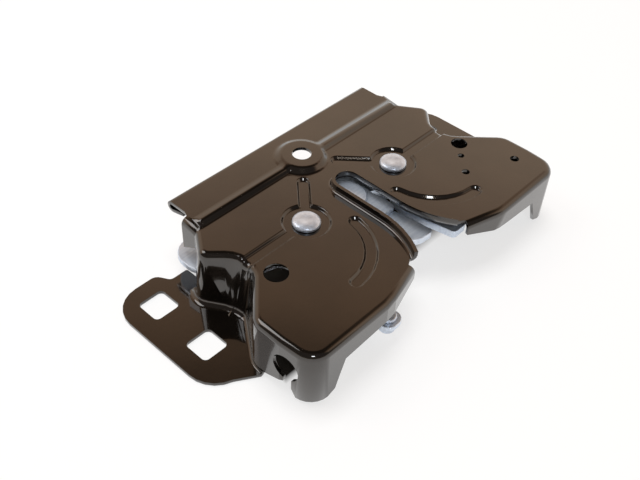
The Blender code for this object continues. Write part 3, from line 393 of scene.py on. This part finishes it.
rivetShape = {
    "head": ((0.0, 0.965), (0.30, 0.965), (0.38, 1.0), (0.60, 0.985), (0.78, 0.90), (0.91, 0.74), (0.985, 0.50),
             (1.0, 0.25), (0.985, 0.0)),
    "headHeight": 0.0022,
    "shank": 0.0030,
    "tailRadius": 0.0050,
    "tail": ((1.0, 0.0), (1.0, 0.45), (0.93, 0.75), (0.75, 0.94), (0.5, 1.0), (0.0, 1.0)),
    "tailHeight": 0.0018,
}


def makeRivet(node, finish):
    shape = rivetShape
    low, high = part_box(node)
    radius = (high.x - low.x) / 2
    seat = high.z - shape["headHeight"]
    foot = low.z + shape["tailHeight"]
    profile = [(radius * r, seat + shape["headHeight"] * h) for r, h in shape["head"]]
    profile.append((shape["shank"], seat))
    profile.append((shape["shank"], foot))
    profile += [(shape["tailRadius"] * r, foot - shape["tailHeight"] * h) for r, h in shape["tail"]]
    bm = spin(profile, middleOf(node))
    finishPiece(bm, node + "_turned", node, "housing", finish)


ringShape = {"edgeRound": 0.0002, "bore": 0.0033, "spacerBore": 0.0051}


def makeRing(node, finish):
    low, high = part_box(node)
    outer = (high.x - low.x) / 2
    inner = ringShape["spacerBore"] if node == "pawl_spacer" else ringShape["bore"]
    r = ringShape["edgeRound"]
    profile = [
        (inner, low.z + r), (inner, high.z - r), (inner + r, high.z), (outer - r, high.z), (outer, high.z - r),
        (outer, low.z + r), (outer - r, low.z), (inner + r, low.z),
    ]
    bm = spin(profile, middleOf(node))
    finishPiece(bm, node + "_ring", node, "housing", finish)


studShape = {"tipRound": 0.2, "steps": 40}


def makeStud(node, body, finish):
    low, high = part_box(node)
    radius = (high.x - low.x) / 2
    r = radius * studShape["tipRound"]
    profile = [(0.0, high.z), (radius, high.z), (radius, low.z + r), (radius - r, low.z), (0.0, low.z)]
    bm = spin(profile, middleOf(node), studShape["steps"])
    finishPiece(bm, node + "_turned", node, body, finish)


postShape = {"neck": 0.0021, "head": 0.0016, "tail": 0.0034, "edgeRound": 0.00064, "steps": 56}


def makePost(finish):
    shape = postShape
    low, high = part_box("cable_post")
    radius = (high.x - low.x) / 2
    r = shape["edgeRound"]
    upper = high.z - shape["head"]
    lower = low.z + shape["tail"]
    profile = [
        (0.0, high.z), (radius - r, high.z), (radius - r * 0.3, high.z - r * 0.3), (radius, high.z - r),
        (radius, upper), (shape["neck"], upper), (shape["neck"], lower), (radius, lower), (radius, low.z + r),
        (radius - r * 0.3, low.z + r * 0.3), (radius - r, low.z), (0.0, low.z),
    ]
    bm = spin(profile, middleOf("cable_post"), shape["steps"])
    finishPiece(bm, "cable_post_turned", "cable_post", "release", finish)


plates = {  # the body that each rides on, and how its sheet's grain is turned
    "catch": ("catch", 0.5),
    "lift_lever": ("lift", 1.2),
    "pawl": ("pawl", -0.4),
    "release_lever": ("release", 0.9),
    "lift_pad": ("lift", 0.0),
}
studs = {"catch_stud": "catch", "lift_stud": "lift", "pawl_stud": "pawl", "pawl_pin": "pawl"}


def makePieces():
    makeHousing(makeCoat())
    print("housing made")
    for node, (body, turn) in plates.items():
        makePlate(node, body, makePlateFinish(node + " plating", turn))
    print("plates made")
    for node in ("catch_rivet", "pawl_rivet"):
        makeRivet(node, makeTurnedFinish(node + " steel", middleOf(node), rivetLook))
    for node in ("catch_bush", "pawl_bush"):
        makeRing(node, makeTurnedFinish(node + " metal", middleOf(node), bushLook))
    for node in ("catch_washer", "pawl_washer", "pawl_spacer"):
        makeRing(node, makeTurnedFinish(node + " metal", middleOf(node), rivetLook))
    for node, body in studs.items():
        makeStud(node, body, makeTurnedFinish(node + " steel", middleOf(node), rivetLook))
    makePost(makeTurnedFinish("post steel", middleOf("cable_post"), rivetLook))
    print("turned pieces made")
    wire = makeWireFinish()
    for node in ("catch_spring", "lift_spring", "pawl_spring"):
        makeWire(node, wire)
    print("springs made")


# Studio

floorLook = {
    "size": 6.0,
    "colour": (0.92, 0.92, 0.92),
    "roughness": 0.9,
    "glow": 0.70,
    # painted shadow: the floor takes this dark colour where the latch covers it
    "paintedShadowColour": (0.02, 0.015, 0.01),
    "shadeSoft": (0.80, 1.06),
    "shadowBoxes": (  # middle x, middle y, half width, half depth
        (0.0, 0.0058, 0.066, 0.032),
        (0.0605, -0.0215, 0.0155, 0.0160),
        (-0.0640, -0.0200, 0.0120, 0.0150),
    ),
}


def paintedFloorShadow(tree):  # painted shadow: 1 on the floor that the latch covers, where hardly any light gets in
    near = None
    for x, y, halfX, halfY in floorLook["shadowBoxes"]:
        where = place(tree, (x, y, 0.0), (1 / halfX, 1 / halfY, 0.0))
        sides = addNode(tree, "ShaderNodeVectorMath", {0: where}, operation="ABSOLUTE").outputs[0]
        parts = addNode(tree, "ShaderNodeSeparateXYZ", {0: sides}).outputs
        far = addNode(tree, "ShaderNodeMath", {0: parts["X"], 1: parts["Y"]}, operation="MAXIMUM").outputs[0]
        if near is not None:
            far = addNode(tree, "ShaderNodeMath", {0: near, 1: far}, operation="MINIMUM").outputs[0]
        near = far
    inner, outer = floorLook["shadeSoft"]
    return ramp(tree, near, ((inner, 1.0), (outer, 0.0)))


def makeFloorPaint():
    look = floorLook
    made, tree, shader = newMaterial("floor paint")
    # the floor is painted dark under the latch as a painted shadow, and its glow is kept off there
    shade = paintedFloorShadow(tree)
    paint = addNode(tree, "ShaderNodeMix", {0: shade, 6: (*look["colour"], 1.0), 7: (*look["paintedShadowColour"], 1.0)},
                    data_type="RGBA")
    tree.links.new(paint.outputs[2], shader.inputs["Base Color"])
    shader.inputs["Roughness"].default_value = look["roughness"]
    path = addNode(tree, "ShaderNodeLightPath").outputs
    seen = path["Is Camera Ray"]  # the white shows to the camera, and in what mirrors it
    for ray in ("Is Glossy Ray", "Is Transmission Ray"):
        seen = addNode(tree, "ShaderNodeMath", {0: seen, 1: path[ray]}, operation="MAXIMUM").outputs[0]
    bare = addNode(tree, "ShaderNodeMath", {0: 1.0, 1: shade}, operation="SUBTRACT").outputs[0]
    lit = addNode(tree, "ShaderNodeMath", {0: seen, 1: bare}, operation="MULTIPLY").outputs[0]
    share = addNode(tree, "ShaderNodeMath", {0: lit, 1: look["glow"]}, operation="MULTIPLY").outputs[0]
    glow = addNode(tree, "ShaderNodeEmission", {"Color": (1.0, 1.0, 1.0, 1.0), "Strength": 1.0})
    upper = addNode(tree, "ShaderNodeMixShader", {0: share, 1: shader.outputs[0], 2: glow.outputs[0]}).outputs[0]
    under = addNode(tree, "ShaderNodeNewGeometry").outputs["Backfacing"]
    clear = addNode(tree, "ShaderNodeBsdfTransparent").outputs[0]  # the floor is clear from below
    sided = addNode(tree, "ShaderNodeMixShader", {0: under, 1: upper, 2: clear})
    tree.links.new(sided.outputs[0], tree.nodes["Material Output"].inputs["Surface"])
    return made


def makeFloor():
    bm = bmesh.new()
    bmesh.ops.create_grid(bm, x_segments=1, y_segments=1, size=floorLook["size"] / 2,
                          matrix=Matrix.Translation((0.0, 0.0, cadLow.z)))
    mesh = bpy.data.meshes.new("floor")
    bm.to_mesh(mesh)
    bm.free()
    mesh.materials.append(makeFloorPaint())
    floor = bpy.data.objects.new("floor", mesh)
    bpy.context.scene.collection.objects.link(floor)


roomLook = {
    "sky": (  # by how high a direction points: a white horizon, and above it a warm dim ceiling
        (0.0, (1.0, 1.0, 1.0)), (0.07, (1.0, 1.0, 1.0)), (0.16, (0.90, 0.77, 0.64)), (0.50, (1.00, 0.76, 0.58)),
        (0.60, (1.06, 0.80, 0.59)), (0.665, (0.82, 0.58, 0.42)), (0.74, (0.66, 0.43, 0.28)),
        (0.79, (0.25, 0.165, 0.11)), (0.88, (0.06, 0.045, 0.035)),
    ),
    "dimSide": (-0.78, -0.62, 0.0),
    "dimColour": (0.13, 0.11, 0.10),
    "dimTurn": (0.04, 0.20),
    "dimRise": (0.13, 0.24),
}


def makeRoom():
    look = roomLook
    world.use_nodes = True
    tree = world.node_tree
    background = tree.nodes["Background"]
    heading = addNode(tree, "ShaderNodeTexCoord").outputs["Generated"]
    height = addNode(tree, "ShaderNodeSeparateXYZ", {0: heading}).outputs["Z"]
    sky = ramp(tree, height, look["sky"])
    aside = addNode(tree, "ShaderNodeVectorMath", {0: heading, 1: look["dimSide"]}, operation="DOT_PRODUCT")
    sideways, upwards = (ramp(tree, source, ((first, 0.0), (last, 1.0))) for source, (first, last) in (
        (aside.outputs["Value"], look["dimTurn"]), (height, look["dimRise"])))
    dim = addNode(tree, "ShaderNodeMath", {0: sideways, 1: upwards}, operation="MULTIPLY").outputs[0]
    around = addNode(tree, "ShaderNodeMix", {0: dim, 6: sky, 7: (*look["dimColour"], 1.0)}, data_type="RGBA")
    camera = addNode(tree, "ShaderNodeLightPath").outputs["Is Camera Ray"]
    seen = addNode(tree, "ShaderNodeMix", {0: camera, 6: around.outputs[2], 7: (1.0, 1.0, 1.0, 1.0)},
                   data_type="RGBA")
    tree.links.new(seen.outputs[2], background.inputs["Color"])
    background.inputs["Strength"].default_value = 1.0


lamps = {
    "left back window": {
        "heading": -34, "elevation": 52, "distance": 1.2, "size": 0.5, "power": 2.5, "colour": (0.95, 0.97, 1.0),
        "mirrored": True,
    },
    "front lamp": {
        "heading": -139, "elevation": 46, "distance": 1.3, "size": 0.2, "power": 2.5, "colour": (0.90, 0.95, 1.0),
        "mirrored": True,
    },
    "top fill": {
        "heading": 20, "elevation": 80, "distance": 1.4, "size": 0.6, "power": 13, "colour": (1.0, 1.0, 1.0),
        "mirrored": False,
    },
}


def makeLamp(name, look):  # a square softbox that faces the latch
    az, el = math.radians(look["heading"]), math.radians(look["elevation"])
    away = Vector((math.sin(az) * math.cos(el), math.cos(az) * math.cos(el), math.sin(el)))
    lamp = bpy.data.lights.new(name, "AREA")
    lamp.shape = "SQUARE"
    lamp.size = look["size"]
    lamp.energy = look["power"]
    lamp.color = look["colour"]
    made = bpy.data.objects.new(name, lamp)
    made.location = away * look["distance"]
    made.rotation_mode = "QUATERNION"
    made.rotation_quaternion = away.to_track_quat("Z", "Y")
    made.visible_glossy = look["mirrored"]
    bpy.context.scene.collection.objects.link(made)


cameraLook = {
    "place": (-0.21874, -0.17441, 0.26620),
    "azimuth": 48.55,
    "elevation": 43.71,
    "roll": 2.8,
    "lens": 49.21,
    "sensor": 36.0,
    "clipStart": 0.01,
}


def makeCamera():
    az, el, roll = (math.radians(cameraLook[k]) for k in ("azimuth", "elevation", "roll"))
    look = Vector((math.sin(az) * math.cos(el), math.cos(az) * math.cos(el), -math.sin(el)))
    level = Vector((math.cos(az), -math.sin(az), 0.0))
    rise = level.cross(look)
    right = level * math.cos(roll) + rise * math.sin(roll)
    up = rise * math.cos(roll) - level * math.sin(roll)
    lens = bpy.data.cameras.new("camera")
    lens.lens = cameraLook["lens"]
    lens.sensor_width = cameraLook["sensor"]
    lens.clip_start = cameraLook["clipStart"]
    made = bpy.data.objects.new("camera", lens)
    turn = Matrix((right, up, -look)).transposed().to_4x4()
    made.matrix_world = Matrix.Translation(cameraLook["place"]) @ turn
    bpy.context.scene.collection.objects.link(made)
    bpy.context.scene.camera = made


makeCamera()
makePieces()
makeFloor()
makeRoom()
for name, look in lamps.items():
    makeLamp(name, look)
print("studio made")
